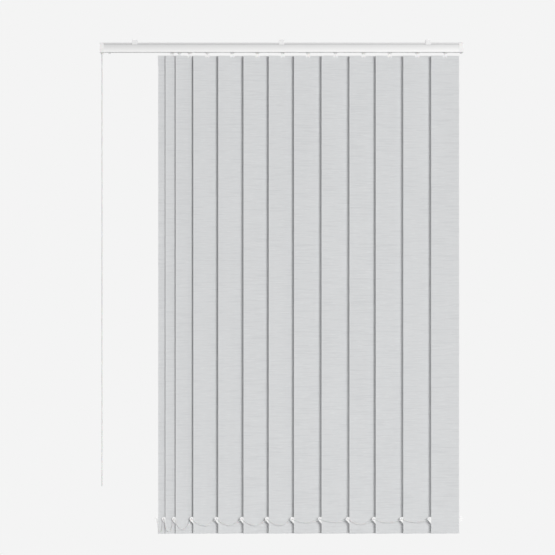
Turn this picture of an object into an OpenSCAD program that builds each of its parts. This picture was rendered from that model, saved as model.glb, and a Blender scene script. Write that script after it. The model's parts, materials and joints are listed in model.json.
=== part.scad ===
// Vertical blind with fabric vanes, drawn part of the way towards its fixed end.
// Millimetres. X runs along the headrail, -Y is the room side and Z is up.
// The origin is on the fixing plane, over the middle bracket.

/* [Headrail] */
// Length of the rail between its end caps
rail_len = 1083; // [880:1:2400]
// Depth of the rail, front to back
rail_w = 42; // [40:0.5:52]
// Height of the rail
rail_h = 29; // [28:0.5:36]
// Side walls
rail_side = 2.6; // [2.2:0.1:3.2]
// Top web
rail_web = 2.4; // [1.6:0.1:2.8]
// Bottom flanges that the wheels run on
rail_flange = 1.8; // [1.2:0.1:2.2]
// Width of the slot between the flanges
rail_slot = 13; // [12:0.1:14]
// Rounding of the rail's outer corners
rail_round = 1.6; // [1:0.1:4]
// Thickness of the lips that the brackets grip
lip_t = 4; // [2:0.1:5]
// Height of the clip groove under each lip
groove_h = 1.8; // [1.4:0.1:3]
// Depth of the clip groove
groove_d = 1.4; // [0.8:0.1:1.8]

/* [Top brackets] */
// Distance from one bracket to the next
bracket_pitch = 447; // [200:1:470]
// Width of a bracket along the rail
bracket_w = 16; // [12:0.5:30]
// Height of the fixing plane above the rail
bracket_lift = 9; // [6:0.5:14]
// Thickness of the bracket's plate and arms
bracket_t = 1.6; // [1.2:0.1:2.4]
// Depth of the block that bears on the rail
bracket_seat = 24; // [14:0.5:34]
// Clearance between a bracket's arms and the rail
bracket_fit = 0.2; // [0.1:0.05:0.5]
// Screw hole through a bracket
screw_hole = 4.5; // [3.5:0.1:5.5]
// Counterbore for the screw's head
screw_head = 9; // [7:0.1:11]
// Depth of the counterbore
screw_sink = 4; // [2:0.1:5]

/* [End caps] */
// Length of a cap outside the rail
cap_t = 12; // [11:0.5:18]
// How far a cap stands proud of the rail's outline
cap_proud = 0.5; // [0:0.1:1.5]
// Side walls of the chain wheel's chamber
cap_wall = 1.6; // [1.2:0.1:2]
// Length of the plug inside the rail
plug_len = 6; // [4:0.5:8]
// Clearance of the plug in the rail
plug_fit = 0.1; // [0.05:0.05:0.3]
// Clearance of the chain in its outlets
outlet_fit = 0.45; // [0.3:0.05:0.8]
// Wall of a chain outlet at its tip
outlet_wall = 0.6; // [0.5:0.1:1]
// Taper of a chain outlet, on its diameter
outlet_taper = 1; // [0.2:0.1:2]
// Length of a chain outlet below the cap
outlet_len = 4.5; // [2:0.1:8]
// Draw cord outlet, distance inside the rail's end
cord_out_x = 17; // [12:0.5:20]
// Draw cord outlet, diameter
cord_out_d = 6; // [5:0.1:8]
// Draw cord outlet, length below the rail
cord_out_len = 4; // [2:0.1:6]
// Draw cord outlet, bore
cord_out_bore = 2.5; // [1.5:0.1:3.5]
// Height of the tongue that carries the draw cord outlet
tongue_h = 6; // [4:0.1:7]
// Diameter of the lug under the idle cap
lug_d = 6; // [4:0.1:8]
// Length of the lug under the idle cap
lug_len = 3; // [1:0.1:5]

/* [Tilt rod and chains] */
// Diameter of the tilt rod
rod_d = 6; // [5:0.1:6.4]
// Diameter of the three grooves along the rod
rod_groove = 1.6; // [1:0.1:2]
// Distance of the rod behind the vanes' axes
rod_y = 6; // [5.5:0.1:7]
// Distance of the rod's axis below the rail's top
rod_drop = 14; // [13.6:0.1:14.5]
// Clearance of the rod in its bearings
bearing_fit = 0.05; // [0.02:0.01:0.1]
// Clearance of the rod in the carriers
rod_fit = 0.3; // [0.2:0.05:0.4]
// Radius of the chain on its wheel
wheel_pitch_r = 9.5; // [9:0.1:10]
// Clearance of the chain in its wheel, and of both in the chamber
chain_fit = 0.3; // [0.2:0.05:0.5]
// Clearance beside the chain wheel in its chamber
wheel_gap = 0.9; // [0.4:0.1:1.2]
// Diameter of the control chain
chain_d = 4.5; // [4:0.1:4.8]
// Drop from the rod's axis to the middle of the lower bend
chain_drop = 1326; // [500:1:2200]
// Diameter of the front chain
strand_d = 2.4; // [1.6:0.1:2.8]
// Length of the front chain between two clips
strand_len = 84.5; // [83:0.5:110]
// Clearance of the front chain in front of the clips
strand_fit = 0.3; // [0.3:0.05:0.6]

/* [Carriers] */
// Width of a carrier along the rail
carrier_w = 19; // [17:0.5:19.5]
// Depth of a carrier's housing
carrier_d = 25; // [22:0.5:26]
// Gap under the housing, above the flanges
carrier_clear = 0.9; // [0.5:0.1:1.5]
// Floor under the hook's collar
carrier_floor = 3; // [2:0.1:3.2]
// Clearance of the carrier's boss in the rail's slot
boss_fit = 0.5; // [0.3:0.05:1]
// Diameter of the wheels
wheel_d = 8; // [6:0.1:8.6]
// Thickness of the wheels
wheel_t = 3; // [2:0.1:4]
// Distance between a carrier's two axles
wheel_base = 10; // [9:0.1:10.5]
// Diameter of the axles
axle_d = 3; // [2:0.1:4]
// Clearance between the wheels and the rail's side walls
wheel_side_fit = 0.9; // [0.4:0.1:1.4]
// Clearance between the wheels and the flanges
wheel_fit = 0.1; // [0.05:0.05:0.2]
// Greatest pitch that the link strips allow
link_pitch = 85; // [85:0.5:92]
// Width of a link strip
link_w = 8; // [6:0.1:8.6]
// Thickness of a link strip
link_t = 0.5; // [0.4:0.05:0.6]
// Height from one link strip's level to the next
link_step = 1.1; // [1.05:0.05:1.15]
// Width of the head at the end of a link strip
link_head = 11; // [10.4:0.1:11.6]
// Length of that head
link_head_len = 2.5; // [1.5:0.1:3]
// Length of the ledges that stop the head
link_stop_len = 4; // [2:0.1:5]
// Clearance of the link strips
link_fit = 0.3; // [0.2:0.05:0.4]
// Distance from the rail's end to the fixed carrier
anchor_inset = 42.5; // [40:0.5:60]

/* [Hooks] */
// Diameter of a hook's stem
stem_d = 6; // [5:0.1:7]
// Clearance of the stem in its carrier
stem_fit = 0.05; // [0.02:0.01:0.1]
// Diameter of the collar that holds the stem up
collar_d = 10; // [8:0.1:11]
// Thickness of the collar
collar_t = 2.5; // [1.5:0.1:2.8]
// Clearance round the collar
collar_fit = 0.3; // [0.2:0.05:0.4]
// Width of the flat flare under the rail
flare_w = 15; // [10:0.1:16]
// Thickness of the flare
flare_t = 3; // [2:0.1:5]
// Height of the flare
flare_h = 4.6; // [3:0.1:5]
// Clearance between the flare and the rail
flare_fit = 0.4; // [0.3:0.05:0.8]
// Width of the tongue that reaches down to the eye
hook_w = 3.4; // [3:0.1:4.4]
// Thickness of that tongue
hook_t = 1.6; // [1:0.1:1.8]
// Diameter of the pin through the eye
pin_d = 2.4; // [2:0.1:3.4]
// How far the pin stands out in front of the hanger
pin_proud = 0.7; // [0.3:0.1:1]
// Clearance between hook and hanger
hook_fit = 0.1; // [0.05:0.05:0.2]

/* [Hangers] */
// Distance of the hanger plate's ends from the vane's edges
hanger_margin = 4.5; // [1:0.5:10]
// Height of the plate inside the pocket
hanger_h = 15; // [10:0.5:20]
// Thickness of the plate
hanger_t = 1; // [0.8:0.1:1.2]
// Rounding of the plate's corners
hanger_round = 3; // [1:0.1:4]
// Width of the arch at its shoulders
arch_w = 14; // [11:0.1:18]
// Width of the arch at its top
arch_top = 6; // [5:0.1:8]
// Distance of the arch's shoulders below the fabric's top edge
shoulder_drop = 1.5; // [1:0.1:3]
// Diameter of the eye
eye_d = 7; // [5:0.1:8]
// Distance of the eye's centre below the fabric's top edge
eye_drop = 3.8; // [3:0.1:4.2]
// How far the plate's upper edge lies below the notch
plate_sink = 0.5; // [0.2:0.1:2]

/* [Vanes] */
// Width of a vane
vane_w = 89; // [76:1:89]
// Length of a vane from fold to fold
vane_drop = 1457; // [600:1:2600]
// Gap between the rail and the fabric's top edge
vane_gap = 10; // [9:0.1:12]
// Angle of the vanes from closed
vane_angle = 15; // [10:0.5:40]
// Thickness of the fabric
fabric_t = 0.45; // [0.3:0.05:0.5]
// Clearance between the fabric and the plate in a pocket
pocket_fit = 0.1; // [0.05:0.05:0.15]
// Spare height of a pocket beyond the plate in it
pocket_slack = 1; // [0.6:0.1:4]
// Height of the welded seam that closes a pocket
seam_h = 8; // [4:0.5:12]
// Clearance of the notch beside the arch
notch_fit = 0.6; // [0.3:0.1:2]
// Depth of the half-round notch for the arch
notch_h = 7.2; // [6:0.1:10]

/* [Weights] */
// Distance of the weight's ends from the vane's edges
weight_margin = 2.5; // [1:0.5:8]
// Height of a weight
weight_h = 42; // [36:0.5:60]
// Thickness of a weight
weight_t = 1.6; // [1.2:0.1:1.8]
// Rounding of the weight's corners
weight_round = 4; // [1:0.5:8]
// Gap between the weight and the inside of the fold
weight_lift = 0.6; // [0.4:0.1:1]
// Reach of a clip's eye beyond the vane's edge
clip_reach = 5.6; // [5:0.1:7]
// Clearance between a clip and the vane's edge
clip_fit = 0.3; // [0.2:0.05:0.6]
// Height of a clip's eye above the vane's lower fold
clip_z = 45; // [41:0.5:50]
// Diameter of a clip's head
clip_head = 11.4; // [9:0.1:12]
// Diameter of a clip's eye
clip_eye = 3; // [2:0.1:4]
// Height of the clip's arm where it leaves the weight
clip_arm = 8; // [4:0.1:10]
// Height of the foot of the arm above the vane's lower fold
clip_foot = 27; // [20:0.5:30]

/* [Hidden] */
$fn = 48;
eps = 0.01;

// Pitch from each carrier to the next, lead carrier first
rest_gaps = [22, 31, 54, 76, 77, 77, 77, 84, 85, 80, 84, 85];
count = len(rest_gaps) + 1;
stations = [1 : count];

// Levels in Z
rail_top = -bracket_lift;
rail_bottom = rail_top - rail_h;
run_z = rail_bottom + rail_flange;
roof_z = rail_top - rail_web;
rod_z = rail_top - rod_drop;
groove_top = rail_top - lip_t;
fabric_top = rail_bottom - vane_gap;
fabric_bottom = fabric_top - vane_drop;
flare_top = rail_bottom - flare_fit;
waist_z = flare_top - flare_h;
eye_z = fabric_top - eye_drop;
pin_z = eye_z + eye_d / 2 - hook_fit - pin_d / 2;
tongue_low = pin_z - pin_d / 2;
plate_top = fabric_top - notch_h - plate_sink;
house_bottom = run_z + carrier_clear;
collar_z = house_bottom + carrier_floor;
cap_bottom = rail_bottom - cap_proud;
loop_z = rod_z - chain_drop;

// Levels of the link strips and the window that they run through
link_levels = 5;
link_top = roof_z - 2.4;
window_top = link_top + link_t / 2 + link_fit;
window_bottom = link_top - link_step * (link_levels - 1) - link_t / 2 - link_fit;
window_half = link_head / 2 + link_fit;
window_wall = 1;

// Places in X and Y
rail_end = rail_len / 2;
bore_half = rail_w / 2 - rail_side;
chain_x = -rail_end - cap_t / 2;
chain_front = rod_y - wheel_pitch_r;
chain_back = rod_y + wheel_pitch_r;
chain_wheel_t = cap_t - 2 * (cap_wall + wheel_gap);
outlet_bore = chain_d + 2 * outlet_fit;
anchor_x = rail_end - anchor_inset;

// A vane in its own frame: Y of the sheet's front, of the plates' fronts and of the front chain
sheet_y = -(hanger_t / 2 + pocket_fit + fabric_t);
plate_y = -hanger_t / 2;
eye_x = -(vane_w / 2 + clip_reach);
strand_off = clip_head / 2 * tan(vane_angle) + strand_d / 2 / cos(vane_angle) + strand_fit;
strand_y = plate_y - strand_off;

function two_digits(k) = k < 10 ? str("0", k) : str(k);
function named(stem, k) = str(stem, "_", two_digits(k));

// Lead carrier's last place, where its vane still turns clear of the control chain
lead_fit = 1.5;
lead_stop = chain_x + chain_d / 2 + lead_fit + vane_w / 2 + clip_reach + clip_head / 2;

// Place of carrier k: the fixed carrier less every pitch between them, or gathered against the lead stop
function gaps_after(k) = k >= count ? 0 : rest_gaps[k - 1] + gaps_after(k + 1);
function station_x(k) = max(anchor_x - gaps_after(k), lead_stop + (k - 1) * (carrier_w + 1));

// Level of the link strip that carrier k holds
function link_z(k) = link_top - link_step * (k % link_levels);

// Round tube along points that lie in one upright plane; side is that plane's normal
function unit(v) = v / norm(v);
function tangent(p, i) = unit(p[min(i + 1, len(p) - 1)] - p[max(i - 1, 0)]);
function tube_ring(p, i, r, sides, side) =
    let (t = tangent(p, i), n = cross(t, side))
    [for (s = [0 : sides - 1]) p[i] + r * (cos(360 * s / sides) * n + sin(360 * s / sides) * side)];

module tube(p, d, side, sides = 8) {
    last = len(p) - 1;
    rings = [for (i = [0 : last]) each tube_ring(p, i, d / 2, sides, side)];
    walls = [
        for (i = [0 : last - 1], s = [0 : sides - 1])
        let (a = i * sides + s, b = i * sides + (s + 1) % sides)
        [a, b, b + sides, a + sides]
    ];
    ends = [
        [for (s = [sides - 1 : -1 : 0]) s],
        [for (s = [0 : sides - 1]) last * sides + s]
    ];
    polyhedron(points = rings, faces = concat(walls, ends));
}

// Solid along X from a profile drawn in Y and Z
module along_x(x0, x1) {
    translate([x0, 0, 0]) rotate([90, 0, 90]) linear_extrude(x1 - x0) children();
}

// Upright plate from a profile drawn in X and Z
module plate(y0, t) {
    translate([0, y0 + t, 0]) rotate([90, 0, 0]) linear_extrude(t) children();
}

// Rectangle with round corners, from its lower left corner
module rounded(w, h, r) {
    translate([r, 0]) square([w - 2 * r, h]);
    translate([0, r]) square([w, h - 2 * r]);
    for (x = [r, w - r], y = [r, h - r]) translate([x, y]) circle(r);
}

module rail_outline(grow) {
    translate([-rail_w / 2 - grow, rail_bottom - grow])
        rounded(rail_w + 2 * grow, rail_h + 2 * grow, rail_round + grow);
}

module rail_bore(shrink) {
    translate([-bore_half + shrink, run_z + shrink])
        square([2 * (bore_half - shrink), roof_z - run_z - 2 * shrink]);
}

module headrail() {
    color("white") along_x(-rail_end, rail_end) difference() {
        rail_outline(0);
        rail_bore(0);
        translate([-rail_slot / 2, rail_bottom - eps]) square([rail_slot, rail_flange + 2 * eps]);
        for (s = [-1, 1])
            translate([s * rail_w / 2 - groove_d, groove_top - groove_h]) square([2 * groove_d, groove_h]);
    }
}

// Clip over the rail: a block bears on the top and two hooks grip the lips from below
module bracket() {
    arm_in = rail_w / 2 + bracket_fit;
    arm_out = arm_in + bracket_t;
    hook_in = rail_w / 2 - groove_d + bracket_fit;
    hook_bottom = groove_top - groove_h + bracket_fit;
    difference() {
        along_x(-bracket_w / 2, bracket_w / 2) {
            translate([-arm_out, -bracket_t]) square([2 * arm_out, bracket_t]);
            translate([-bracket_seat / 2, rail_top]) square([bracket_seat, bracket_lift]);
            for (s = [0, 1]) mirror([s, 0]) {
                translate([arm_in, hook_bottom]) square([bracket_t, -hook_bottom]);
                translate([hook_in, hook_bottom]) square([arm_out - hook_in, groove_top - hook_bottom]);
            }
        }
        translate([0, 0, rail_top - eps]) cylinder(d = screw_hole, h = bracket_lift + 2 * eps);
        translate([0, 0, rail_top - eps]) cylinder(d = screw_head, h = screw_sink + eps);
    }
}

module top_brackets() {
    color("gainsboro") for (i = [-1, 0, 1]) translate([i * bracket_pitch, 0, 0]) bracket();
}

// Body of a cap at the left end: the block outside and the web that carries the rod
module cap_body() {
    along_x(-rail_end - cap_t, -rail_end) rail_outline(cap_proud);
    along_x(-rail_end, -rail_end + plug_len) rail_bore(plug_fit);
}

module rod_bearing(x0, x1) {
    translate([x0, rod_y, rod_z]) rotate([0, 90, 0]) cylinder(d = rod_d + 2 * bearing_fit, h = x1 - x0);
}

module control_end_cap() {
    chamber_r = wheel_pitch_r + chain_d / 2 + chain_fit;
    outlet_tip = outlet_bore + 2 * outlet_wall;
    outlet_low = cap_bottom - outlet_len;
    cord_x = -rail_end + cord_out_x;
    cord_low = rail_bottom - cord_out_len;
    tongue_z = run_z + plug_fit;
    color("white") difference() {
        union() {
            cap_body();
            for (y = [chain_front, chain_back])
                translate([chain_x, y, outlet_low])
                    cylinder(d1 = outlet_tip, d2 = outlet_tip + outlet_taper, h = outlet_len + cap_proud);
            translate([-rail_end, -rail_slot / 2 - 2, tongue_z])
                cube([cord_out_x + cord_out_d / 2, rail_slot + 4, tongue_h]);
            translate([cord_x, 0, cord_low]) cylinder(d = cord_out_d, h = tongue_z + 1 - cord_low);
        }
        translate([-rail_end - cap_t + cap_wall, rod_y, rod_z]) rotate([0, 90, 0])
            cylinder(r = chamber_r, h = cap_t - 2 * cap_wall);
        for (y = [chain_front, chain_back])
            translate([chain_x, y, outlet_low - eps]) cylinder(d = outlet_bore, h = rod_z - outlet_low);
        translate([cord_x, 0, cord_low - eps])
            cylinder(d = cord_out_bore, h = tongue_z + tongue_h + 1 - cord_low);
        rod_bearing(-rail_end - cap_wall - eps, -rail_end + plug_len + eps);
    }
}

module idle_end_cap() {
    color("white") difference() {
        union() {
            mirror([1, 0, 0]) cap_body();
            translate([rail_end + cap_t / 2, 0, cap_bottom - lug_len]) cylinder(d = lug_d, h = lug_len + 1);
        }
        rod_bearing(rail_end - plug_len - eps, rail_end);
    }
}

// Middles of the three grooves in the rod, in Y and Z
function rod_grooves() = [for (a = [90, 210, 330]) rod_d / 2 * [cos(a), sin(a)] + [rod_y, rod_z]];

module tilt_rod() {
    color("silver") along_x(chain_x - chain_wheel_t / 2, rail_end - chain_fit) difference() {
        translate([rod_y, rod_z]) circle(d = rod_d);
        for (p = rod_grooves()) translate(p) circle(d = rod_groove);
    }
}

// Grooved wheel on the end of the rod, keyed into the rod's three grooves
module chain_wheel() {
    half = chain_wheel_t / 2;
    rim_r = wheel_pitch_r + 1;
    key_d = rod_groove - 2 * bearing_fit;
    color("whitesmoke") {
        difference() {
            translate([chain_x, rod_y, rod_z]) rotate([0, 90, 0]) difference() {
                translate([0, 0, -half]) cylinder(r = rim_r, h = chain_wheel_t);
                rotate_extrude() translate([wheel_pitch_r, 0]) circle(d = chain_d + 2 * chain_fit);
            }
            rod_bearing(chain_x - half - eps, chain_x + half + eps);
        }
        along_x(chain_x - half, chain_x + half) for (p = rod_grooves()) translate(p) circle(d = key_d);
    }
}

// Down in front, round the lower bend, up behind and over the wheel
module control_chain() {
    bend_step = 22.5;
    levels = [0.05, 0.2, 0.4, 0.6, 0.8, 0.95];
    down = [for (u = levels) [chain_front, rod_z - chain_drop * u]];
    bend = [for (a = [180 : bend_step : 360]) [rod_y, loop_z] + wheel_pitch_r * [cos(a), sin(a)]];
    up = [for (i = [len(levels) - 1 : -1 : 0]) [chain_back, rod_z - chain_drop * levels[i]]];
    over = [for (a = [0 : bend_step : 157.5]) [rod_y, rod_z] + wheel_pitch_r * [cos(a), sin(a)]];
    route = concat([[chain_front, rod_z - 1]], down, bend, up, over);
    color("white") tube([for (p = route) [chain_x, p[0], p[1]]], chain_d, [1, 0, 0]);
}

// Sag of a strand of known length over a span, from the length of a parabola
function asinh(v) = ln(v + sqrt(v * v + 1));
function arc_len(span, sag) = sqrt(span * span + 16 * sag * sag) / 2
    + span * span / (8 * sag) * asinh(4 * sag / span);
function sag_for(span, length, low = 0.1, high = 200, turns = 40) =
    let (mid = (low + high) / 2)
    turns == 0 ? mid
    : arc_len(span, mid) < length ? sag_for(span, length, mid, high, turns - 1)
    : sag_for(span, length, low, mid, turns - 1);

// Where the front chain meets the clip of vane k
function clip_point(k) = [
    station_x(k) + eye_x * cos(vane_angle) - strand_y * sin(vane_angle),
    eye_x * sin(vane_angle) + strand_y * cos(vane_angle),
    fabric_bottom + clip_z
];

module front_chain() {
    steps = 6;
    end_gap = [strand_d / 2 + strand_fit, 0, 0];
    color("white") for (k = [1 : count - 1]) {
        a = clip_point(k) + end_gap;
        b = clip_point(k + 1) - end_gap;
        sag = sag_for(b[0] - a[0], strand_len);
        route = [for (i = [0 : steps]) let (u = i / steps) a + (b - a) * u - [0, 0, 4 * sag * u * (1 - u)]];
        tube(route, strand_d, [0, 1, 0]);
    }
}

// One link strip, held by its own carrier, with a head that the next carrier's ledges stop
module link_strip(k) {
    reach = link_pitch - carrier_w / 2 + link_stop_len + link_fit;
    z = link_z(k) - link_t / 2;
    root = window_half + window_wall;
    translate([-reach, -link_w / 2, z]) cube([reach, link_w, link_t]);
    translate([-reach - link_head_len, -link_head / 2, z]) cube([link_head_len, link_head, link_t]);
    translate([-carrier_w / 2, -root, z]) cube([carrier_w, 2 * root, link_t]);
}

// Ledges that stop the head of the strip from the carrier on the right
module link_stops(k) {
    inner = link_w / 2 + link_fit;
    for (s = [0, 1]) mirror([0, s, 0])
        translate([carrier_w / 2 - link_stop_len, inner, link_z(k + 1) - link_t])
            cube([link_stop_len, window_half + window_wall - inner, 2 * link_t]);
}

module carrier(k) {
    axle_z = run_z + wheel_fit + wheel_d / 2;
    wheel_out = bore_half - wheel_side_fit;
    boss_d = rail_slot - 2 * boss_fit;
    roof_half = window_half + window_wall;
    color("whitesmoke") translate([station_x(k), 0, 0]) {
        difference() {
            union() {
                translate([-carrier_w / 2, -carrier_d / 2, house_bottom])
                    cube([carrier_w, carrier_d, window_bottom - house_bottom]);
                translate([-carrier_w / 2, -roof_half, window_bottom - eps])
                    cube([carrier_w, 2 * roof_half, window_top + window_wall + eps - window_bottom]);
                translate([0, 0, rail_bottom + boss_fit]) cylinder(d = boss_d, h = house_bottom - rail_bottom);
                for (s = [-1, 1]) translate([s * wheel_base / 2, 0, axle_z]) rotate([90, 0, 0]) {
                    cylinder(d = axle_d, h = 2 * wheel_out, center = true);
                    for (e = [0, 1]) mirror([0, 0, e])
                        translate([0, 0, wheel_out - wheel_t]) cylinder(d = wheel_d, h = wheel_t);
                }
            }
            translate([-carrier_w / 2 - eps, -window_half, window_bottom])
                cube([carrier_w + 2 * eps, 2 * window_half, window_top - window_bottom]);
            translate([-carrier_w / 2 - eps, rod_y, rod_z]) rotate([0, 90, 0])
                cylinder(d = rod_d + 2 * rod_fit, h = carrier_w + 2 * eps);
            translate([0, 0, rail_bottom]) cylinder(d = stem_d + 2 * stem_fit, h = collar_z - rail_bottom);
            translate([0, 0, collar_z - collar_fit])
                cylinder(d = collar_d + 2 * collar_fit, h = collar_t + 2 * collar_fit);
        }
        if (k > 1) link_strip(k);
        if (k < count) link_stops(k);
    }
}

// Hook that turns in its carrier: collar, stem, flare, tongue and the pin through the hanger's eye
module hook() {
    tongue_y = hanger_t / 2 + hook_fit;
    translate([0, 0, collar_z]) cylinder(d = collar_d, h = collar_t);
    translate([0, 0, waist_z]) cylinder(d = stem_d, h = collar_z + eps - waist_z);
    plate(-flare_t / 2, flare_t) polygon([
        [-stem_d / 2, waist_z], [stem_d / 2, waist_z], [flare_w / 2, flare_top], [-flare_w / 2, flare_top]
    ]);
    translate([-hook_w / 2, tongue_y, tongue_low]) cube([hook_w, hook_t, waist_z + eps - tongue_low]);
    translate([0, tongue_y + eps, pin_z]) rotate([90, 0, 0])
        cylinder(d = pin_d, h = tongue_y + eps + hanger_t / 2 + pin_proud);
}

// Outline of the arch from a level inside the plate up to the hook's waist
module arch_outline(low) {
    foot = arch_w / 2;
    top = arch_top / 2;
    top_z = waist_z - hook_fit;
    shoulder_z = fabric_top - shoulder_drop;
    polygon([[-foot, low], [foot, low], [foot, shoulder_z], [top, top_z], [-top, top_z], [-foot, shoulder_z]]);
}

// Hanger plate with its arch, in the vane's top pocket
module hanger_plate() {
    half = vane_w / 2 - hanger_margin;
    difference() {
        plate(plate_y, hanger_t) {
            translate([-half, plate_top - hanger_h]) rounded(2 * half, hanger_h, hanger_round);
            arch_outline(plate_top - 1);
        }
        translate([0, hanger_t, eye_z]) rotate([90, 0, 0]) cylinder(d = eye_d, h = 2 * hanger_t);
    }
}

module hanger(k) {
    color("white") translate([station_x(k), 0, 0]) rotate([0, 0, vane_angle]) {
        hook();
        hanger_plate();
    }
}

// Outer radius of the fold round a plate of thickness t
function fold_r(t) = (t + 2 * pocket_fit + 2 * fabric_t) / 2;

// Fabric folded back round a plate of thickness t to height h, and welded to the sheet above that
module pocket_profile(t, h) {
    back = plate_y + t + pocket_fit;
    r = fold_r(t);
    translate([sheet_y + r, r]) difference() {
        circle(r);
        circle(r - fabric_t);
        translate([-r, 0]) square([2 * r, r]);
    }
    translate([back, r - eps]) square([fabric_t, h - r + eps]);
    polygon([
        [back, h - eps], [back + fabric_t, h - eps],
        [sheet_y + 2 * fabric_t, h + seam_h], [sheet_y + fabric_t - eps, h + seam_h]
    ]);
}

// Height of the weight's lower edge above the fold
function weight_low() = fabric_t + weight_lift;

// Half-round notch in the fabric's upper edge, round the arch
module notch_outline() {
    r = arch_w / 2 + notch_fit;
    centre_z = fabric_top - notch_h + r;
    translate([0, centre_z]) circle(r);
    translate([-r, centre_z]) square([2 * r, notch_h]);
}

// Sheet with both pockets, notched in front for the hanger's arch and behind for the hook's tongue
module vane(k) {
    top_h = fabric_top - plate_top + hanger_h + pocket_slack;
    bottom_h = weight_low() + weight_h + pocket_slack;
    straight = vane_drop - fold_r(hanger_t) - fold_r(weight_t);
    color([0.83, 0.84, 0.85]) translate([station_x(k), 0, 0]) rotate([0, 0, vane_angle]) difference() {
        along_x(-vane_w / 2, vane_w / 2) {
            translate([sheet_y, fabric_bottom + fold_r(weight_t)]) square([fabric_t, straight]);
            translate([0, fabric_bottom]) pocket_profile(weight_t, bottom_h);
            translate([0, fabric_top]) mirror([0, 1]) pocket_profile(hanger_t, top_h);
        }
        plate(-5, 5 + (hanger_t + pocket_fit) / 2) notch_outline();
        plate(0, 5) translate([-hook_w / 2 - notch_fit, tongue_low - notch_fit])
            square([hook_w + 2 * notch_fit, notch_h]);
    }
}

// Chain clip at the left end: round head, square corner against the vane's edge, tail into the pocket
module clip_outline(root_x) {
    edge_x = -vane_w / 2 - clip_fit;
    r = clip_head / 2;
    arm_top = clip_foot + clip_arm;
    tail = 40;
    translate([eye_x, clip_z]) circle(r);
    polygon([
        [root_x, clip_foot], [root_x, arm_top], [edge_x, arm_top], [edge_x, clip_z + r], [eye_x, clip_z + r],
        [eye_x - r * cos(tail), clip_z - r * sin(tail)]
    ]);
}

// Weight plate with a chain clip at each end
module weight(k) {
    half = vane_w / 2 - weight_margin;
    color("white") translate([station_x(k), 0, 0]) rotate([0, 0, vane_angle])
        plate(plate_y, weight_t) translate([0, fabric_bottom]) difference() {
            union() {
                translate([-half, weight_low()]) rounded(2 * half, weight_h, weight_round);
                for (s = [0, 1]) mirror([s, 0]) clip_outline(1 - half);
            }
            for (s = [0, 1]) mirror([s, 0]) translate([eye_x, clip_z]) circle(d = clip_eye);
        }
}

headrail();
top_brackets();
control_end_cap();
idle_end_cap();
tilt_rod();
chain_wheel();
control_chain();
front_chain();
for (k = stations) {
    carrier(k);
    hanger(k);
    vane(k);
    weight(k);
}
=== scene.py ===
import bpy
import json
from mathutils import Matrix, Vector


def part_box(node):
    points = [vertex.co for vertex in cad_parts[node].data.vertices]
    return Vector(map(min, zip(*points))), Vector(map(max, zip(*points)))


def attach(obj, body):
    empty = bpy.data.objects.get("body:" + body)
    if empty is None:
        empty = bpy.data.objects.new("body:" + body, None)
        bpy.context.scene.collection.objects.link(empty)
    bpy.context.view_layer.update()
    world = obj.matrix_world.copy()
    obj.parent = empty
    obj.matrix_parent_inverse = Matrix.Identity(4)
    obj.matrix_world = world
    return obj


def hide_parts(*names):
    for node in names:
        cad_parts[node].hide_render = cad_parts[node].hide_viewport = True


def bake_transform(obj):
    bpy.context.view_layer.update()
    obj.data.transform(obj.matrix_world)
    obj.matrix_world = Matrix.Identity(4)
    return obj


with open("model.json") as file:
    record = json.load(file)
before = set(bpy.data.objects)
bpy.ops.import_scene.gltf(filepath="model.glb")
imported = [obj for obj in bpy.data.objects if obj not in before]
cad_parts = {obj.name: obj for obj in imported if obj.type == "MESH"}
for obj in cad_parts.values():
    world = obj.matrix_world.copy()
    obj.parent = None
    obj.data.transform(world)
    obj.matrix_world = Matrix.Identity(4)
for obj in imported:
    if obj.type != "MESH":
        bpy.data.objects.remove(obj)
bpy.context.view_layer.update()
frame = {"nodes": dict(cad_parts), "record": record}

import json
import math
import random

import bpy
from mathutils import Matrix, Vector

MM = 0.001
TINY = 0.01 * MM
COUNT = 13
NODES = frame["nodes"]


def named(stem, k):
    return f"{stem}_{k:02d}"


# Sizes of the vanes, in metres
VANE_W = 89 * MM
VANE_ANGLE = math.radians(15)
FABRIC_T = 0.45 * MM
POCKET_FIT = 0.1 * MM
POCKET_SLACK = 1 * MM
SEAM_H = 8 * MM
# The painted highlight along the vane's edges: how far in from the edge it starts, and how near the edge it
# is fullest
EDGE_HIGHLIGHT_W = 3 * MM
EDGE_HIGHLIGHT_RIM = 0.9 * MM
WELD_H = 1.6 * MM
WELD_BLUR = 0.24 * MM
WELD_PITCH = 4 * MM
HANGER_T = 1 * MM
HANGER_H = 15 * MM
WEIGHT_T = 1.6 * MM
WEIGHT_H = 42 * MM
WEIGHT_LOW = 1.05 * MM
PLATE_SINK = 0.5 * MM
NOTCH_H = 7.2 * MM
NOTCH_R = 7.6 * MM
NOTCH_FIT = 0.6 * MM
HOOK_W = 3.4 * MM
TONGUE_LOW = -50.8 * MM

# Sizes of the chains and their clips
CHAIN_D = 4.5 * MM
CHAIN_DROP = 1326 * MM
CHAIN_PITCH = 6 * MM
CHAIN_START = 1 * MM
WHEEL_R = 9.5 * MM
STRAND_D = 2.4 * MM
STRAND_PITCH = 4.8 * MM
STRAND_LEN = 84.5 * MM
STRAND_FIT = 0.3 * MM
CLIP_REACH = 5.6 * MM
CLIP_HEAD = 11.4 * MM
CLIP_Z = 45 * MM

# Places that the frame gives
JOINTS = {joint["name"]: joint for joint in frame["record"]["behaviour"]["joints"]}
STATION = {k: JOINTS[named("tilt", k)]["pos_m"][0] for k in range(1, COUNT + 1)}
FABRIC_BOTTOM, FABRIC_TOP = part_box("vane_01")[0][2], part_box("vane_01")[1][2]
ROD_X, ROD_Y, ROD_Z = JOINTS["rod_spin"]["pos_m"]
RAIL_TOP_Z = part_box("headrail")[1][2]

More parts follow.
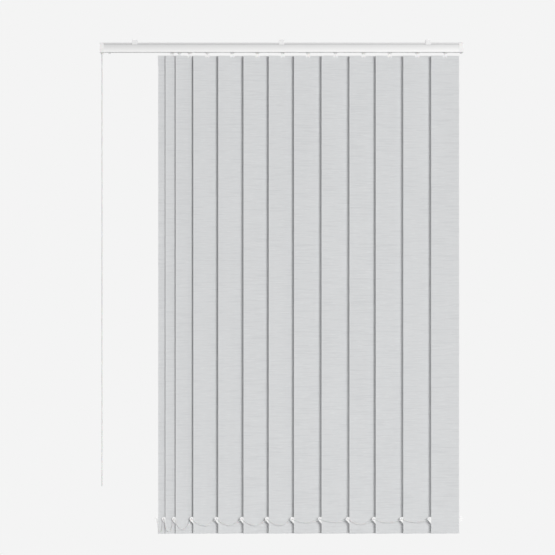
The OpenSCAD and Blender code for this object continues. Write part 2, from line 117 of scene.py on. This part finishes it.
# Places that follow from the sizes
SHEET_Y = -(HANGER_T + FABRIC_T) / 2 - POCKET_FIT
TOP_POCKET = NOTCH_H + PLATE_SINK + HANGER_H + POCKET_SLACK
BOTTOM_POCKET = WEIGHT_LOW + WEIGHT_H + POCKET_SLACK
WELD_LEVELS = (FABRIC_TOP - TOP_POCKET - SEAM_H / 2, FABRIC_BOTTOM + BOTTOM_POCKET + SEAM_H / 2)


# Camera: square on, with a long lens
PHOTO_PX = 555
MM_PER_PX = 3.05
PHOTO_MIDDLE_X = 281.5
RAIL_TOP_PX = 43
CAMERA_BACK = 14
VIEW_END = 100
SENSOR = 36


def make_camera():
    data = bpy.data.cameras.new("camera")
    camera = bpy.data.objects.new("camera", data)
    bpy.context.collection.objects.link(camera)
    data.sensor_width = SENSOR
    data.lens = SENSOR * CAMERA_BACK / (PHOTO_PX * MM_PER_PX * MM)
    data.clip_end = VIEW_END
    x = (PHOTO_PX / 2 - PHOTO_MIDDLE_X) * MM_PER_PX * MM
    z = RAIL_TOP_Z - (PHOTO_PX / 2 - RAIL_TOP_PX) * MM_PER_PX * MM
    camera.location = (x, -CAMERA_BACK, z)
    camera.rotation_euler = (math.radians(90), 0, 0)
    bpy.context.scene.camera = camera


# Materials
class Shader:
    """A node material with a principled shader, built up by short calls."""

    def __init__(self, name, colour, rough, **sockets):
        self.material = bpy.data.materials.new(name)
        self.material.use_nodes = True
        self.tree = self.material.node_tree
        self.surface = self.tree.nodes["Principled BSDF"]
        self.set(self.surface, Base_Color=(*colour, 1), Roughness=rough, **sockets)
        texture_place = self.tree.nodes.new("ShaderNodeTexCoord")
        self.coords = texture_place.outputs["Object"]
        self.normal = texture_place.outputs["Normal"]

    @staticmethod
    def set(node, **sockets):
        for key, value in sockets.items():
            node.inputs[key.replace("_", " ")].default_value = value

    def node(self, kind, **sockets):
        made = self.tree.nodes.new("ShaderNode" + kind)
        self.set(made, **sockets)
        return made

    def link(self, start, end):
        self.tree.links.new(start, end)

    def parts(self, vector):
        """X, Y and Z of a vector."""
        made = self.node("SeparateXYZ")
        self.link(vector, made.inputs["Vector"])
        return [made.outputs[axis] for axis in "XYZ"]

    def stretched(self, repeats, shift=None):
        """Object coordinates times the repeats along X, Y and Z, moved by a shift if one is given."""
        mapping = self.node("Mapping", Scale=repeats)
        self.link(self.coords, mapping.inputs["Vector"])
        if shift is not None:
            self.link(shift, mapping.inputs["Location"])
        return mapping.outputs["Vector"]

    def noise(self, repeats, shift=None, detail=2.0, rough=0.5):
        made = self.node("TexNoise", Scale=1.0, Detail=detail, Roughness=rough)
        self.link(self.stretched(repeats, shift), made.inputs["Vector"])
        return made.outputs["Fac"]

    def bands(self, repeats, direction, distortion):
        made = self.node("TexWave", Scale=1.0, Distortion=distortion, Detail=1.0)
        made.bands_direction = direction
        self.link(self.stretched(repeats), made.inputs["Vector"])
        return made.outputs["Fac"]

    def ramp(self, factor, start, end):
        """A grey value from a factor, between two (place, value) stops."""
        made = self.node("MapRange")
        made.clamp = True
        self.set(made, From_Min=start[0], From_Max=end[0], To_Min=start[1], To_Max=end[1])
        self.link(factor, made.inputs["Value"])
        return made.outputs["Result"]

    def math(self, operation, *values):
        made = self.node("Math")
        made.operation = operation
        for socket, value in zip(made.inputs, values):
            if isinstance(value, (int, float)):
                socket.default_value = value
            else:
                self.link(value, socket)
        return made.outputs["Value"]

    def tint(self, factor, low, high):
        """Base colour between two colours by a factor."""
        made = self.node("Mix")
        made.data_type = "RGBA"
        sockets = {s.identifier: s for s in made.inputs}
        sockets["A_Color"].default_value = (*low, 1)
        sockets["B_Color"].default_value = (*high, 1)
        self.link(factor, sockets["Factor_Float"])
        result = {s.identifier: s for s in made.outputs}["Result_Color"]
        self.link(result, self.surface.inputs["Base Color"])

    def bump(self, height, distance, strength):
        made = self.node("Bump", Strength=strength, Distance=distance)
        self.link(height, made.inputs["Height"])
        self.link(made.outputs["Normal"], self.surface.inputs["Normal"])


# Fabric: repeats of each pattern in a metre along X, Y and Z
SLUB = (45, 45, 340)
LONG_SLUB = (14, 14, 270)
FABRIC_CLOUD = (9, 9, 5)
WEFT = (260, 260, 320)
WARP = (320, 320, 200)
PATTERN_SHIFT = 97.0

# Fabric: how strongly each pattern shows in colour and in relief
FABRIC_DARK = (0.629, 0.638, 0.647)
FABRIC_MEAN = (0.68, 0.69, 0.695)
FABRIC_PALE = (0.728, 0.738, 0.744)
FABRIC_BASE = 0.3
PALE_SLUB = (0.52, 0.0), (0.72, 1.0)
DARK_SLUB = (0.5, 0.0), (0.3, 1.0)
SLUB_TINT = 0.42
CLOUD_TINT = 0.4
# Painted highlight along the vane's edges
EDGE_HIGHLIGHT_TINT = 0.5
WELD_TINT = 0.35
WELD_GAPS = (-0.35, 0.0), (0.1, 1.0)
WARP_RELIEF = 0.6
SLUB_RELIEF = 0.8
WELD_RELIEF = 2.0
WEAVE_DEPTH = 0.08 * MM


def weld_marks(made, x, z):
    """1 on the short pressed marks of the welds that close the two pockets."""
    near = None
    for level in WELD_LEVELS:
        away = made.math("ABSOLUTE", made.math("SUBTRACT", z, level))
        band = made.ramp(away, (WELD_H / 2 - WELD_BLUR, 1.0), (WELD_H / 2 + WELD_BLUR, 0.0))
        near = band if near is None else made.math("ADD", near, band)
    turn = made.math("SINE", made.math("MULTIPLY", x, 2 * math.pi / WELD_PITCH))
    return made.math("MULTIPLY", near, made.ramp(turn, *WELD_GAPS))


def fabric_material():
    """Slub weave with a painted highlight along its long edges and pressed welds; no two vanes show the
    same part of it.
    """
    made = Shader("blind_fabric", FABRIC_MEAN, rough=0.9, Sheen_Weight=0.08, Sheen_Roughness=0.5)
    shift = made.math("MULTIPLY", made.node("ObjectInfo").outputs["Random"], PATTERN_SHIFT)
    x, _, z = made.parts(made.coords)
    pale = made.ramp(made.noise(SLUB, shift, detail=3.0, rough=0.6), *PALE_SLUB)
    dark = made.ramp(made.noise(LONG_SLUB, shift), *DARK_SLUB)
    cloud = made.noise(FABRIC_CLOUD, shift)
    # Painted highlight: paler towards both long edges of the vane
    edge_x = VANE_W / 2
    highlight_band = (edge_x - EDGE_HIGHLIGHT_W, 0.0), (edge_x - EDGE_HIGHLIGHT_RIM, EDGE_HIGHLIGHT_TINT)
    edge = made.ramp(made.math("ABSOLUTE", x), *highlight_band)
    weld = weld_marks(made, x, z)
    shade = made.math("MULTIPLY_ADD", made.math("SUBTRACT", pale, dark), SLUB_TINT, FABRIC_BASE)
    shade = made.math("ADD", shade, made.math("MULTIPLY", cloud, CLOUD_TINT))
    shade = made.math("ADD", shade, edge)
    shade = made.math("SUBTRACT", shade, made.math("MULTIPLY", weld, WELD_TINT))
    made.tint(shade, FABRIC_DARK, FABRIC_PALE)
    weft = made.bands(WEFT, "Z", distortion=1.5)
    warp = made.bands(WARP, "X", distortion=0.6)
    relief = made.math("ADD", weft, made.math("MULTIPLY", warp, WARP_RELIEF))
    relief = made.math("ADD", relief, made.math("MULTIPLY", pale, SLUB_RELIEF))
    relief = made.math("SUBTRACT", relief, made.math("MULTIPLY", weld, WELD_RELIEF))
    made.bump(relief, WEAVE_DEPTH, strength=0.6)
    return made.material


# Rail's coat: painted shade on its face, darker towards the top and paling from one level down to the
# other, and painted shade in its clip groove, which lies inside the face
FACE_TOP_Z = -17 * MM
FACE_FOOT_Z = -36 * MM
FACE_PAINTED_SHADE = 0.42
FACE_GAIN = 0.56
GROOVE_Y = 20 * MM
GROOVE_Z = -15.5 * MM
SHADE_EDGE = 0.2 * MM
COAT_CLOUD = (14, 60, 60)
COAT_CLOUD_TINT = 0.04
COAT_PEEL = (900, 900, 900)
PEEL_DEPTH = 0.02 * MM
FACES_UP = (0.5, 0.0), (0.9, 1.0)


def paint_material(name, low, high, rough):
    """Powder coat with an orange peel and painted shade: darker towards the top of its face, paler at the
    rail's foot and on its top, with painted shade in the clip groove.
    """
    made = Shader(name, high, rough, Coat_Weight=0.15, Coat_Roughness=0.2)
    _, y, z = made.parts(made.coords)
    # Painted shade: the face is darker towards its top and pales down to its foot
    painted_shade_fade = made.ramp(z, (FACE_TOP_Z, 0.0), (FACE_FOOT_Z, 1.0))
    cloud = made.noise(COAT_CLOUD, detail=3.0)
    face = made.math("MULTIPLY_ADD", painted_shade_fade, FACE_GAIN, FACE_PAINTED_SHADE)
    face = made.math("ADD", face, made.math("MULTIPLY", cloud, COAT_CLOUD_TINT))
    # Painted shade in the clip groove: its inner face is darker
    inside = made.ramp(made.math("ABSOLUTE", y), (GROOVE_Y, 1.0), (GROOVE_Y + SHADE_EDGE, 0.0))
    above = made.ramp(z, (GROOVE_Z, 0.0), (GROOVE_Z + SHADE_EDGE, 1.0))
    groove_painted_shade = made.math("MULTIPLY", inside, above)
    top = made.ramp(made.parts(made.normal)[2], *FACES_UP)
    made.tint(made.math("MAXIMUM", made.math("SUBTRACT", face, groove_painted_shade), top), low, high)
    made.bump(made.noise(COAT_PEEL), PEEL_DEPTH, strength=0.5)
    return made.material


# Plastic and metal: repeats in a metre, and the range of a noise from the low colour to the high one
PLASTIC_CLOUD = (120, 120, 120)
PLASTIC_SKIN = (2500, 2500, 2500)
SKIN_DEPTH = 0.01 * MM
SCATTER_DEPTH = 0.5 * MM
METAL_STREAK = (6, 1400, 1400)
METAL_ROUGH = (0.3, 0.26), (0.7, 0.4)
LOW_TO_HIGH = (0.35, 0.0), (0.65, 1.0)


def plastic_material(name, low, high, rough, scatter=0.0):
    """Moulded plastic with faint clouds and a fine skin."""
    made = Shader(name, high, rough, Subsurface_Weight=scatter, Subsurface_Scale=SCATTER_DEPTH)
    made.tint(made.ramp(made.noise(PLASTIC_CLOUD), *LOW_TO_HIGH), low, high)
    made.bump(made.noise(PLASTIC_SKIN), SKIN_DEPTH, strength=0.4)
    return made.material


def metal_material(name, low, high):
    """Drawn aluminium with streaks along its length."""
    made = Shader(name, high, rough=0.32, Metallic=1.0)
    streak = made.noise(METAL_STREAK, detail=3.0)
    made.tint(made.ramp(streak, *LOW_TO_HIGH), low, high)
    made.link(made.ramp(streak, *METAL_ROUGH), made.surface.inputs["Roughness"])
    return made.material


MATERIALS = {
    "fabric": fabric_material(),
    # The rail coat's low colour is the painted shade at the top of its face and in its clip groove
    "rail_paint": paint_material("rail_coat", (0.5, 0.5, 0.505), (0.93, 0.93, 0.925), 0.42),
    "bracket": plastic_material("bracket_coat", (0.8, 0.8, 0.8), (0.85, 0.85, 0.85), 0.45),
    "white_plastic": plastic_material("white_plastic", (0.83, 0.83, 0.825), (0.88, 0.88, 0.875), 0.5, 0.05),
    "truck_plastic": plastic_material("truck_plastic", (0.7, 0.7, 0.69), (0.78, 0.78, 0.77), 0.55),
    "rod": metal_material("rod_metal", (0.7, 0.71, 0.72), (0.82, 0.83, 0.84)),
    "chain": plastic_material("chain_plastic", (0.85, 0.85, 0.84), (0.9, 0.9, 0.89), 0.4, 0.1),
    "weight": plastic_material("weight_plastic", (0.89, 0.89, 0.885), (0.94, 0.94, 0.935), 0.55),
}


def dress(obj, slot):
    obj.data.materials.clear()
    obj.data.materials.append(MATERIALS[slot])


def dress_nodes():
    for part in frame["record"]["subparts"]:
        dress(NODES[part["node"]], part["material_slot"])


# Meshes
def mesh_object(name, points, faces, smooth_below=math.radians(35)):
    mesh = bpy.data.meshes.new(name)
    mesh.from_pydata(points, [], faces)
    mesh.validate()
    mesh.shade_smooth()
    mesh.set_sharp_from_angle(angle=smooth_below)
    obj = bpy.data.objects.new(name, mesh)
    bpy.context.collection.objects.link(obj)
    return obj


def length_of(route):
    return sum(math.dist(a, b) for a, b in zip(route, route[1:]))


def even_steps(route, count):
    """Points that part a route into count even steps, both ends included."""
    lengths = [(b - a).length for a, b in zip(route, route[1:])]
    total = sum(lengths)
    points, i, before = [], 0, 0.0
    for n in range(count + 1):
        want = total * n / count
        while i < len(lengths) - 1 and want > before + lengths[i]:
            before += lengths[i]
            i += 1
        points.append(route[i].lerp(route[i + 1], min(1.0, (want - before) / lengths[i])))
    return points


# Bead chains
CORD_SHARE = 0.3
CORD_SIDES = 6
CHAIN_FACETS = (8, 12)
STRAND_FACETS = (6, 10)
BEAD_SMOOTH = math.radians(60)


def bead(radius, rings, sides):
    """Points and faces of a ball with its poles on Z."""
    points = [(0, 0, radius)]
    for i in range(1, rings):
        a = math.pi * i / rings
        out, up = radius * math.sin(a), radius * math.cos(a)
        for j in range(sides):
            b = 2 * math.pi * j / sides
            points.append((out * math.cos(b), out * math.sin(b), up))
    points.append((0, 0, -radius))
    last = len(points) - 1
    faces = [(0, 1 + j, 1 + (j + 1) % sides) for j in range(sides)]
    for i in range(rings - 2):
        for j in range(sides):
            a, b = 1 + i * sides + j, 1 + i * sides + (j + 1) % sides
            faces.append((a, a + sides, b + sides, b))
    low = 1 + (rings - 2) * sides
    faces += [(last, low + (j + 1) % sides, low + j) for j in range(sides)]
    return [Vector(p) for p in points], faces


def bead_chain(name, route, diameter, pitch, side, facets):
    """Balls at an even pitch on a thin cord along a flat route; side is square to the route's plane."""
    centres = even_steps(route, 2 * round(length_of(route) / pitch))
    ball, ball_faces = bead(diameter / 2, *facets)
    points, faces = [], []
    for centre in centres[1::2]:
        start = len(points)
        points += [centre + p for p in ball]
        faces += [tuple(start + i for i in face) for face in ball_faces]
    cord_r = diameter * CORD_SHARE / 2
    start, last = len(points), len(centres) - 1
    for i, centre in enumerate(centres):
        along = (centres[min(i + 1, last)] - centres[max(i - 1, 0)]).normalized()
        across = along.cross(side)
        for j in range(CORD_SIDES):
            a = 2 * math.pi * j / CORD_SIDES
            points.append(centre + cord_r * (math.cos(a) * side + math.sin(a) * across))
    for i in range(last):
        for j in range(CORD_SIDES):
            a, b = start + i * CORD_SIDES + j, start + i * CORD_SIDES + (j + 1) % CORD_SIDES
            faces.append((a, b, b + CORD_SIDES, a + CORD_SIDES))
    end = start + last * CORD_SIDES
    faces.append(tuple(start + j for j in reversed(range(CORD_SIDES))))
    faces.append(tuple(end + j for j in range(CORD_SIDES)))
    return mesh_object(name, points, faces, BEAD_SMOOTH), centres


# Control chain: levels as shares of its drop, and the steps of a half turn
CHAIN_LEVELS = [0.05, 0.2, 0.4, 0.6, 0.8, 0.95]
HALF_TURN = [math.radians(22.5 * i) for i in range(8)]


def control_chain():
    front, back, low = ROD_Y - WHEEL_R, ROD_Y + WHEEL_R, ROD_Z - CHAIN_DROP
    route = [(front, ROD_Z - CHAIN_START)]
    route += [(front, ROD_Z - CHAIN_DROP * u) for u in CHAIN_LEVELS]
    route += [(ROD_Y - WHEEL_R * math.cos(a), low - WHEEL_R * math.sin(a)) for a in HALF_TURN]
    route += [(back, low)]
    route += [(back, ROD_Z - CHAIN_DROP * u) for u in reversed(CHAIN_LEVELS)]
    route += [(ROD_Y + WHEEL_R * math.cos(a), ROD_Z + WHEEL_R * math.sin(a)) for a in HALF_TURN]
    route = [Vector((ROD_X, y, z)) for y, z in route]
    side = Vector((1, 0, 0))
    chain, path = bead_chain("bead_chain_loop", route, CHAIN_D, CHAIN_PITCH, side, CHAIN_FACETS)
    dress(chain, "chain")
    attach(chain, "rail")
    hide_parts("control_chain")


# Front chain: spans below STRAND_WIDE hang rounder than a parabola, so no bend is too tight for the beads
STRAND_STEPS = 40
STRAND_WIDE = 50 * MM
STRAND_ROUND = 2.5
SAG_RANGE = (0.1 * MM, 200 * MM)
SAG_HALVINGS = 40


def clip_point(k):
    """Where the front chain meets the left clip of vane k."""
    off = CLIP_HEAD / 2 * math.tan(VANE_ANGLE) + STRAND_D / 2 / math.cos(VANE_ANGLE) + STRAND_FIT
    local = Vector((-VANE_W / 2 - CLIP_REACH, -HANGER_T / 2 - off, FABRIC_BOTTOM + CLIP_Z))
    return Matrix.Rotation(VANE_ANGLE, 3, "Z") @ local + Vector((STATION[k], 0, 0))


def hang(span, sag):
    """A strand's route from its start as (along, drop): a parabola, or a rounder curve on a short span."""
    power = 2 + STRAND_ROUND * max(0, 1 - span / STRAND_WIDE)
    shares = [i / STRAND_STEPS for i in range(STRAND_STEPS + 1)]
    return [(span * u, sag * (1 - abs(2 * u - 1) ** power)) for u in shares]


def sag_for(span, length):
    """The sag that gives a strand its length."""
    low, high = SAG_RANGE
    for _ in range(SAG_HALVINGS):
        guess = (low + high) / 2
        low, high = (guess, high) if length_of(hang(span, guess)) < length else (low, guess)
    return low


def front_chain():
    """Strands from clip to clip, each drawn out or gathered between its two carriers."""
    end_gap = Vector((STRAND_D / 2 + STRAND_FIT, 0, 0))
    side = Vector((0, 1, 0))
    for k in range(1, COUNT):
        a, b = clip_point(k) + end_gap, clip_point(k + 1) - end_gap
        span = (b - a).x
        route = [a + Vector((along, 0, -drop)) for along, drop in hang(span, sag_for(span, STRAND_LEN))]
        name = named("bead_strand", k)
        strand, path = bead_chain(name, route, STRAND_D, STRAND_PITCH, side, STRAND_FACETS)
        dress(strand, "chain")
        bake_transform(strand)
        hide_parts("front_chain")


# Vanes: the columns and rows of their meshes, and the most that their fabric leaves its plane
SHEET_X = [18 * MM, 26 * MM, 34 * MM, 40 * MM, VANE_W / 2]
SHEET_ROWS = 48
ROWS_BELOW_TOP = 26 * MM
ROWS_ABOVE_BOTTOM = 44 * MM
FOLD_STEPS = 6
NOTCH_STEPS = [math.radians(15 + 12.5 * i) for i in range(7)]
NOTCH_STEEPEST = 0.998
BOW = 0.5 * MM
WAVE_RANGE = (0.1 * MM, 0.3 * MM)
WAVE_TURN = 9
PHASE_RANGE = (0, 6.3)
WAVE_SEED = 13


def hem(plate_t, height):
    """Middle line of the fabric round a plate as (y, rise): from the sheet round the fold to the seam."""
    back = -HANGER_T / 2 + plate_t + POCKET_FIT + FABRIC_T / 2
    fold_y, radius = (SHEET_Y + back) / 2, (back - SHEET_Y) / 2
    turn = [math.pi * i / FOLD_STEPS for i in range(FOLD_STEPS + 1)]
    rise = radius + FABRIC_T / 2
    line = [(fold_y - radius * math.cos(a), rise - radius * math.sin(a)) for a in turn]
    return line + [(back, height), (SHEET_Y + FABRIC_T, height + SEAM_H)]


def notch(y, z):
    """Half width and floor of the fabric's notch: half round for the arch in front, square behind."""
    if y > (HANGER_T + POCKET_FIT) / 2:
        return HOOK_W / 2 + NOTCH_FIT, TONGUE_LOW - NOTCH_FIT
    floor = FABRIC_TOP - NOTCH_H
    if z < floor - TINY:
        return NOTCH_R, floor
    depth = min(max((floor + NOTCH_R - z) / NOTCH_R, 0), NOTCH_STEEPEST)
    return NOTCH_R * math.sqrt(1 - depth * depth), floor


def fabric_line():
    """Middle line of the fabric as (y, z): from the top seam over the fold and down into the bottom hem."""
    top = hem(HANGER_T, TOP_POCKET)
    bottom = hem(WEIGHT_T, BOTTOM_POCKET)
    down = [(y, FABRIC_TOP - rise) for y, rise in reversed(top)]
    up = [(y, FABRIC_BOTTOM + rise) for y, rise in bottom]
    back = [(down[1][0], TONGUE_LOW - NOTCH_FIT)]
    front = [(SHEET_Y, FABRIC_TOP - NOTCH_H + NOTCH_R * (1 - math.sin(a))) for a in NOTCH_STEPS]
    first, last = FABRIC_TOP - ROWS_BELOW_TOP, FABRIC_BOTTOM + ROWS_ABOVE_BOTTOM
    sheet = [(SHEET_Y, first + (last - first) * i / SHEET_ROWS) for i in range(SHEET_ROWS + 1)]
    return down[:2] + back + down[2:] + front + sheet + up


def own_wave(draw):
    """A vane's own slight bow and wave between its hems: a function that gives the step in y at x and z."""
    bow, wave, phase = draw.uniform(-BOW, BOW), draw.uniform(*WAVE_RANGE), draw.uniform(*PHASE_RANGE)

    def step(x, z):
        share = (FABRIC_TOP - z) / (FABRIC_TOP - FABRIC_BOTTOM)
        edge = 2 * x / VANE_W
        swing = bow * (1 - edge * edge) + wave * edge * math.sin(WAVE_TURN * share + phase)
        return math.sin(math.pi * share) ** 2 * swing

    return step


def skin_faces(cells, columns):
    """Faces of a closed skin over a grid's cells; each row of points has one side after the other."""

    def at(row, column, side):
        return (2 * row + side) * columns + column

    faces = []
    for i, j in sorted(cells):
        ring = [(i, j), (i, j + 1), (i + 1, j + 1), (i + 1, j)]
        faces.append(tuple(at(a, b, 0) for a, b in ring))
        faces.append(tuple(at(a, b, 1) for a, b in reversed(ring)))
        beside = [(i - 1, j), (i, j + 1), (i + 1, j), (i, j - 1)]
        for n, other in enumerate(beside):
            if other not in cells:
                a, b = ring[n], ring[(n + 1) % 4]
                faces.append((at(*b, 0), at(*a, 0), at(*a, 1), at(*b, 1)))
    return faces


def vane_mesh(k, line, draw):
    """A vane's fabric in its own frame: a closed skin to both sides of its middle line, with the notch."""
    step = own_wave(draw)
    last = len(line) - 1
    points = []
    for i, (y, z) in enumerate(line):
        y0, z0 = line[max(i - 1, 0)]
        y1, z1 = line[min(i + 1, last)]
        run = math.hypot(y1 - y0, z1 - z0)
        off_y, off_z = (z1 - z0) / run * FABRIC_T / 2, -(y1 - y0) / run * FABRIC_T / 2
        inner = notch(y, z)[0]
        xs = [-x for x in reversed(SHEET_X)] + [-inner, inner] + SHEET_X
        for side in (1, -1):
            points += [(x, y + step(x, z) + side * off_y, z + side * off_z) for x in xs]
    notch_column = len(SHEET_X)
    columns = 2 * len(SHEET_X) + 2
    cells = set()
    for i in range(last):
        notched = all(z > notch(y, z)[1] - TINY for y, z in line[i:i + 2])
        cells |= {(i, j) for j in range(columns - 1) if not (notched and j == notch_column)}
    return mesh_object(named("fabric_vane", k), points, skin_faces(cells, columns))


def vanes():
    draw = random.Random(WAVE_SEED)
    line = fabric_line()
    for k in range(1, COUNT + 1):
        vane = vane_mesh(k, line, draw)
        vane.matrix_world = Matrix.Translation((STATION[k], 0, 0)) @ Matrix.Rotation(VANE_ANGLE, 4, "Z")
        dress(vane, "fabric")
        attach(vane, named("louvre", k))
        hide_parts(named("vane", k))


# Stage
WHITE = (1, 1, 1, 1)
BACKDROP = 0.905
FILL = 0.295
LAMP_DISTANCE = 12
KEY = {"light": 0.64, "size": 4.6, "right": math.radians(19.5), "up": math.radians(10)}
BACK = {"light": 0.45, "size": 4.6, "right": math.radians(205), "up": math.radians(30)}
FLOOR_GAP = 0.25
FLOOR_Z = FABRIC_BOTTOM - FLOOR_GAP
FLOOR_R = 2.3
FLOOR_SIDES = 64
FLOOR_GREY = (0.8, 0.8, 0.8)
FLOOR_FADE = (0.35 * FLOOR_R, 0.45), (FLOOR_R, 1.0)


def seen_ray(tree):
    """1 for rays that show the backdrop itself: camera, glossy and transmission rays."""
    path = tree.nodes.new("ShaderNodeLightPath")
    total = path.outputs["Is Camera Ray"]
    for name in ("Is Glossy Ray", "Is Transmission Ray"):
        either = tree.nodes.new("ShaderNodeMath")
        either.operation = "MAXIMUM"
        tree.links.new(total, either.inputs[0])
        tree.links.new(path.outputs[name], either.inputs[1])
        total = either.outputs["Value"]
    return total


def make_world():
    """White light all round, with a paler backdrop where it is seen."""
    world = bpy.data.worlds.new("studio")
    bpy.context.scene.world = world
    world.use_nodes = True
    tree = world.node_tree
    light = tree.nodes["Background"]
    shown = tree.nodes.new("ShaderNodeBackground")
    for node, strength in ((light, FILL), (shown, BACKDROP)):
        node.inputs["Color"].default_value = WHITE
        node.inputs["Strength"].default_value = strength
    mix = tree.nodes.new("ShaderNodeMixShader")
    tree.links.new(seen_ray(tree), mix.inputs[0])
    tree.links.new(light.outputs[0], mix.inputs[1])
    tree.links.new(shown.outputs[0], mix.inputs[2])
    tree.links.new(mix.outputs[0], tree.nodes["World Output"].inputs["Surface"])


def make_lamp(name, light, size, right, up):
    """A round lamp that gives that share of full light, seen from the blind to the right and above."""
    data = bpy.data.lights.new(name, "AREA")
    data.shape = "DISK"
    data.size = size
    data.energy = light * (math.pi * LAMP_DISTANCE) ** 2
    lamp = bpy.data.objects.new(name, data)
    bpy.context.collection.objects.link(lamp)
    middle = Vector((0, 0, (FABRIC_TOP + FABRIC_BOTTOM) / 2))
    toward = Vector((math.sin(right) * math.cos(up), -math.cos(right) * math.cos(up), math.sin(up)))
    lamp.location = middle + LAMP_DISTANCE * toward
    lamp.rotation_euler = toward.to_track_quat("Z", "Y").to_euler()


def make_floor():
    """A pale round floor that fades into the backdrop at its rim."""
    ring = [2 * math.pi * i / FLOOR_SIDES for i in range(FLOOR_SIDES)]
    points = [(FLOOR_R * math.cos(a), FLOOR_R * math.sin(a), FLOOR_Z) for a in ring]
    floor = mesh_object("floor", points, [tuple(range(FLOOR_SIDES))])
    made = Shader("floor_matt", FLOOR_GREY, rough=0.9)
    distance = made.node("VectorMath")
    distance.operation = "LENGTH"
    made.link(made.stretched((1, 1, 0)), distance.inputs[0])
    fade = made.ramp(distance.outputs["Value"], *FLOOR_FADE)
    glow = made.node("Emission", Color=WHITE, Strength=BACKDROP)
    mix = made.node("MixShader")
    made.link(made.math("MULTIPLY", seen_ray(made.tree), fade), mix.inputs[0])
    made.link(made.surface.outputs[0], mix.inputs[1])
    made.link(glow.outputs[0], mix.inputs[2])
    made.link(mix.outputs[0], made.tree.nodes["Material Output"].inputs["Surface"])
    floor.data.materials.append(made.material)


make_camera()
control_chain()
front_chain()
dress_nodes()
vanes()
make_world()
make_lamp("key_lamp", **KEY)
make_lamp("back_lamp", **BACK)
make_floor()
bpy.context.scene.view_settings.view_transform = "Standard"
